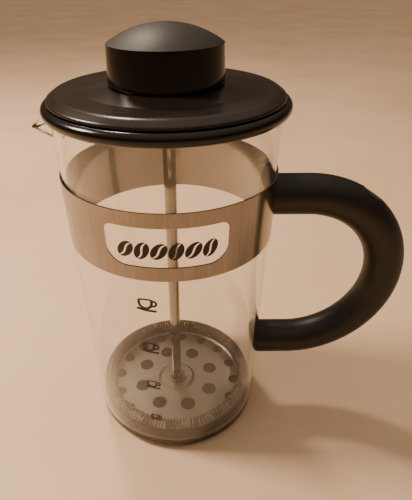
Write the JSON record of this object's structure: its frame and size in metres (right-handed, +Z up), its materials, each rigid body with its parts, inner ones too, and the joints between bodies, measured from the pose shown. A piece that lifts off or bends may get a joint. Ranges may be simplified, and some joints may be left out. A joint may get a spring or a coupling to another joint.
{
  "type": "french press",
  "caption": "Glass french press with a windowed steel band, black C-shaped tube handle, two-step black lid with domed knob, and a sliding rod with a steel mesh filter.",
  "frame": {"origin": "centre of the beaker's flat underside, where it rests", "axes": "+Z up along the beaker's axis, +X towards the handle, -X towards the spout, -Y towards the window in the band"},
  "size_m": [0.1834, 0.1052, 0.211],
  "materials": {
    "glass_beaker": "clear, polished",
    "clamp_band": "thin polished sheet with a faint brushed grain",
    "handle_grip": "satin black",
    "handle_upper_socket": "satin black",
    "handle_lower_plug": "satin black",
    "handle_pad": "soft grey-black",
    "clamp_screw": "zinc plated",
    "clamp_nut": "zinc plated",
    "lid_seat_ring": "semi-gloss black",
    "lid_cover": "semi-gloss black with a satin top",
    "pour_shutter": "semi-gloss black",
    "rod_bush": "smooth black",
    "bush_clip": "spring steel",
    "knob_body": "glossy black",
    "knob_cap": "satin dark grey-black",
    "knob_insert": "turned",
    "plunger_rod": "polished stainless",
    "cross_plate": "pressed stainless",
    "mesh_filter": "fine woven wire",
    "press_plate": "pressed stainless",
    "garter_spring": "coiled stainless wire",
    "hub_washer": "plain stainless",
    "lock_nut": "plain stainless"
  },
  "bodies": {
    "carafe": {"glass_beaker": "glass_beaker", "clamp_band": "clamp_band", "handle_grip": "handle_grip", "handle_upper_socket": "handle_upper_socket", "handle_lower_plug": "handle_lower_plug", "handle_pad": "handle_pad", "clamp_screw": "clamp_screw", "clamp_nut": "clamp_nut"},
    "lid_base": {"lid_seat_ring": "lid_seat_ring"},
    "lid_top": {"lid_cover": "lid_cover", "pour_shutter": "pour_shutter"},
    "bush": {"rod_bush": "rod_bush", "bush_clip": "bush_clip"},
    "plunger": {"knob_body": "knob_body", "knob_cap": "knob_cap", "knob_insert": "knob_insert", "plunger_rod": "plunger_rod", "cross_plate": "cross_plate", "mesh_filter": "mesh_filter", "press_plate": "press_plate", "garter_spring": "garter_spring", "hub_washer": "hub_washer", "lock_nut": "lock_nut"}
  },
  "joints": [
    {"name": "lid_lift", "type": "slide", "parent": "carafe", "child": "lid_base", "axis": [0, 0, 1], "range_m": [0, 0.185]},
    {"name": "lid_turn", "type": "hinge", "parent": "lid_base", "child": "lid_top", "pos_m": [0, 0, 0.1839], "axis": [0, 0, 1], "continuous": true},
    {"name": "plunger_spin", "type": "hinge", "parent": "lid_top", "child": "bush", "pos_m": [0, 0, 0.1839], "axis": [0, 0, 1], "continuous": true},
    {"name": "plunger_slide", "type": "slide", "parent": "bush", "child": "plunger", "axis": [0, 0, 1], "range_m": [0, 0.156]}
  ]
}
